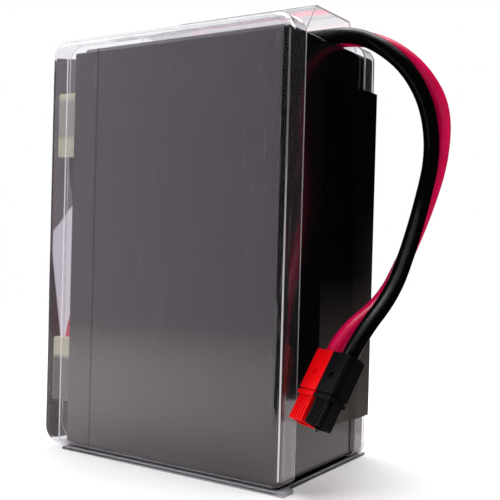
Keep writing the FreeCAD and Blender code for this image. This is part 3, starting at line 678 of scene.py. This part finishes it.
def floor_paint(shade):
    """Pale matte floor that fades out into the white backdrop, and is greyer in reflections, with a
    painted pool of light there.
    """
    made = Finish("floor_paint", Roughness=0.9)
    pale = made.cloud(3.0, shade, 0.99, 1.0)
    mirrored = made.span(made.node("LightPath").outputs["Glossy Depth"], 0.0, 1.0, 0.0, 1.0)
    # Painted light: a pale pool on the floor, seen only in reflections.
    pool = made.span(made.distance(POOL_PLACE), *POOL_EDGE, 0.0, 1.0)
    grey = made.blend(pool, POOL_LIGHT, MIRRORED_FLOOR)
    made.feed("Base Color", made.blend(mirrored, pale, grey))
    made.feed("Alpha", made.span(made.distance((0.0, 0.0, 0.0)), *FLOOR_FADE, 1.0, 0.0))
    return made.material


def card_paint(name, shade, mirrored=True, right_shade=None):
    """Card of one even shade, whatever light falls on it, or of a shade that changes along X.

    A mirrored card shows only in reflections; the other kind shows only its front."""
    made = Finish(name)
    even = made.node("Emission")
    even.inputs["Color"].default_value = (*shade, 1.0)
    if right_shade is not None:
        rightward = made.span(made.along("X"), *FRONT_CARD_FADE, 0.0, 1.0)
        made.link(made.blend(rightward, shade, right_shade), even.inputs["Color"])
    gone = made.node("BsdfTransparent")
    if mirrored:
        hidden = made.span(made.node("LightPath").outputs["Glossy Depth"], 0.0, 1.0, 1.0, 0.0)
    else:
        hidden = made.node("NewGeometry").outputs["Backfacing"]
    card = made.mix(hidden, even.outputs["Emission"], gone.outputs["BSDF"])
    made.link(card, made.output.inputs["Surface"])
    return made.material


def pale_floor(shade):
    """Square floor under the pack."""
    reach = FLOOR_REACH
    corners = [(-reach, -reach, 0), (reach, -reach, 0), (reach, reach, 0), (-reach, reach, 0)]
    flat_card("floor", corners, floor_paint(shade))


def room_cards():
    """Cards that stand in for the room in the pack's reflections."""
    black = card_paint("flag_black", BLACK)
    strip_card("dark_flag", arc(FLAG_RADIUS, RIGHT_FLAG_TURNS, 0.0),
               arc(FLAG_RADIUS, RIGHT_FLAG_TURNS, RIGHT_FLAG_HEIGHT), black)
    front = np.array([(x, y, 0.0) for x, y in FRONT_CARD])
    strip_card("front_card", front, front + (0.0, 0.0, FRONT_CARD_HEIGHT),
               card_paint("card_grey", FRONT_CARD_LEFT, right_shade=FRONT_CARD_RIGHT))
    strip_card("left_flag", arc(FLAG_RADIUS, LEFT_FLAG_TURNS, 0.0),
               arc(FLAG_RADIUS, LEFT_FLAG_TURNS, LEFT_FLAG_HEIGHT), black)
    strip_card("dark_table", arc(DARK_TABLE_INNER, DARK_TABLE_TURNS, DARK_TABLE_LEVEL),
               arc(FLAG_RADIUS, DARK_TABLE_TURNS, DARK_TABLE_LEVEL), black)
    table = flat_card("pale_table", [(x, y, PALE_TABLE_LEVEL) for x, y in PALE_TABLE],
                      card_paint("table_pale", PALE_TABLE_SHADE))
    hide(table, MIRROR_HIDDEN)


def margin_card(name, corners, back, material):
    """Card seen only through the clear left margin; corners are across and up, in metres."""
    start = MARGIN_START + MARGIN_BACK * back
    points = [(*(start + MARGIN_ACROSS * across), up) for across, up in corners]
    hide(flat_card(name, points, material), MARGIN_HIDDEN)


def margin_cards():
    """Painted shade and light seen through the clear left margin: dark cards that stand in for the dark
    room, and a pale card for a pale patch.
    """
    shadow = card_paint("margin_black", BLACK, mirrored=False)
    dark = card_paint("card_dark", UPPER_SHADE, mirrored=False)
    pale = card_paint("card_pale", PALE_BACK_SHADE, mirrored=False)
    margin_card("margin_upper", UPPER_DARK, 0.0, dark)
    margin_card("margin_lower", LOWER_DARK, 0.0, shadow)
    # Painted light: a pale card set back, seen between the dark ones.
    margin_card("margin_pale", PALE_BACK, PALE_BACK_STEP, pale)
    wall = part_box("front_tray")[0].x - WALL_STEP
    hide(flat_card("margin_wall", [(wall, y, z) for y, z in WALL_DARK], shadow), MARGIN_HIDDEN)


def world_light(ambient):
    """White for the camera, gloss and glass, and even soft light on the rest."""
    world = bpy.data.worlds.new("studio_room")
    bpy.context.scene.world = world
    world.use_nodes = True
    tree = world.node_tree
    tree.nodes.clear()
    output = tree.nodes.new("ShaderNodeOutputWorld")
    light = tree.nodes.new("ShaderNodeBackground")
    light.inputs["Color"].default_value = (1.0, 1.0, 1.0, 1.0)
    path = tree.nodes.new("ShaderNodeLightPath")
    seen = path.outputs["Is Camera Ray"]
    for kind in ("Is Glossy Ray", "Is Transmission Ray"):
        either = tree.nodes.new("ShaderNodeMath")
        either.operation = "MAXIMUM"
        tree.links.new(seen, either.inputs[0])
        tree.links.new(path.outputs[kind], either.inputs[1])
        seen = either.outputs["Value"]
    strength = tree.nodes.new("ShaderNodeMapRange")
    strength.inputs["To Min"].default_value = ambient
    strength.inputs["To Max"].default_value = 1.0
    tree.links.new(seen, strength.inputs["Value"])
    tree.links.new(strength.outputs["Result"], light.inputs["Strength"])
    tree.links.new(light.outputs["Background"], output.inputs["Surface"])


def lamp(name, place, size, power):
    """Square soft lamp at a place, turned towards the middle of the pack."""
    data = bpy.data.lights.new(name, "AREA")
    data.size = size
    data.energy = power
    made = bpy.data.objects.new(name, data)
    made.location = place
    made.rotation_euler = (Vector(LAMP_AIM) - Vector(place)).to_track_quat("-Z", "Y").to_euler()
    bpy.context.collection.objects.link(made)


def photo_camera(studio):
    """Camera at the picture's place: right, up and back from its three angles."""
    turn, pitch, roll = studio.azimuth, studio.pitch, studio.roll
    ahead = Vector((-np.sin(turn) * np.cos(pitch), np.cos(turn) * np.cos(pitch), -np.sin(pitch)))
    level = Vector((np.cos(turn), np.sin(turn), 0.0))
    upright = level.cross(ahead)
    right = np.cos(roll) * level + np.sin(roll) * upright
    up = np.cos(roll) * upright - np.sin(roll) * level
    data = bpy.data.cameras.new("photo_camera")
    data.sensor_width = SENSOR_WIDTH
    data.lens = studio.lens
    data.shift_x, data.shift_y = studio.shift
    data.clip_start = 0.01
    made = bpy.data.objects.new("photo_camera", data)
    axes = Matrix((right, up, -ahead)).transposed().to_4x4()
    made.matrix_world = Matrix.Translation(studio.camera_place) @ axes
    bpy.context.collection.objects.link(made)
    bpy.context.scene.camera = made


class PACK_OT_studio(bpy.types.Operator):
    """Set up the camera, lamps, floor and cards"""

    bl_idname = "battery_pack.studio"
    bl_label = "Studio"

    def execute(self, context):
        studio = context.scene.studio_settings
        context.scene.view_settings.view_transform = "Standard"
        photo_camera(studio)
        world_light(studio.ambient)
        pale_floor(studio.floor)
        room_cards()
        margin_cards()
        for name, (place, size, power) in LAMPS.items():
            lamp(name, place, size, power)
        return {"FINISHED"}


class PACK_PT_panel(bpy.types.Panel):
    """Lists the pieces of the battery pack"""

    bl_idname = "PACK_PT_panel"
    bl_label = "Battery pack"
    bl_space_type = "VIEW_3D"
    bl_region_type = "UI"
    bl_category = "Battery pack"

    def draw(self, context):
        scene = context.scene
        for operator in OPERATORS:
            self.layout.operator(operator.bl_idname)
        for group in (scene.pack_colours, scene.pack_sizes, scene.studio_settings):
            box = self.layout.box()
            for name in group.bl_rna.properties.keys():
                if name not in ("rna_type", "name"):
                    box.prop(group, name)


GROUPS = {"pack_colours": PackColours, "pack_sizes": PackSizes, "studio_settings": StudioSettings}
OPERATORS = (PACK_OT_studio, PACK_OT_leads, PACK_OT_block, PACK_OT_terminals,
             PACK_OT_sheets, PACK_OT_label, PACK_OT_connectors)


def register():
    for name, group in GROUPS.items():
        bpy.utils.register_class(group)
        setattr(bpy.types.Scene, name, bpy.props.PointerProperty(type=group))
    for cls in OPERATORS + (PACK_PT_panel,):
        bpy.utils.register_class(cls)


def unregister():
    for cls in reversed(OPERATORS + (PACK_PT_panel,)):
        bpy.utils.unregister_class(cls)
    for name, group in GROUPS.items():
        delattr(bpy.types.Scene, name)
        bpy.utils.unregister_class(group)


def main():
    """Registers the add-on and makes every piece in order."""
    register()
    bpy.ops.battery_pack.studio()
    bpy.ops.battery_pack.leads()
    bpy.ops.battery_pack.block()
    bpy.ops.battery_pack.terminals()
    bpy.ops.battery_pack.sheets()
    bpy.ops.battery_pack.label()
    bpy.ops.battery_pack.connectors()


if __name__ == "__main__":
    main()
